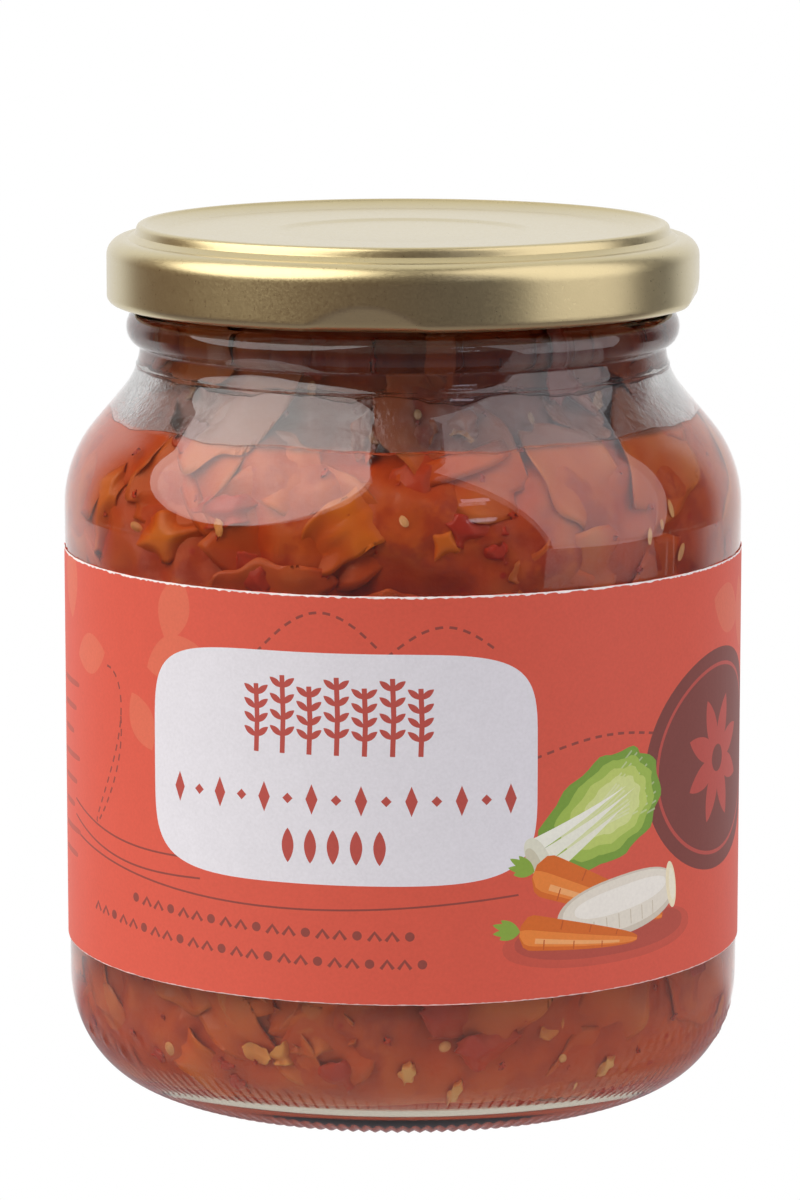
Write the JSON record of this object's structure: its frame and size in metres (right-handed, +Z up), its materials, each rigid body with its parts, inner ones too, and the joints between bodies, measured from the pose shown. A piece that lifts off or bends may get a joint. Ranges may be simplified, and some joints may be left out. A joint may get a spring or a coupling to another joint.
{
  "type": "kimchi jar",
  "caption": "Shut glass jar of kimchi in brine, with a gold twist-off lid and a plain printed paper label wrapped round it.",
  "frame": {"origin": "centre of the ring that the jar stands on, on the table plane", "axes": "+Z up along the jar's axis, the label's front faces -Y"},
  "size_m": [0.085, 0.085, 0.108],
  "materials": {
    "glass": "clear pressed soda glass, glossy",
    "gold_lacquer": "satin gold lacquer on tinplate",
    "label_paper": "coral printed paper, soft sheen",
    "kimchi": "wet fermented cabbage with chilli",
    "brine": "clear orange-red brine"
  },
  "bodies": {
    "root": {"glass_jar": "glass", "lid": "gold_lacquer", "label": "label_paper", "kimchi": "kimchi"}
  },
  "joints": []
}
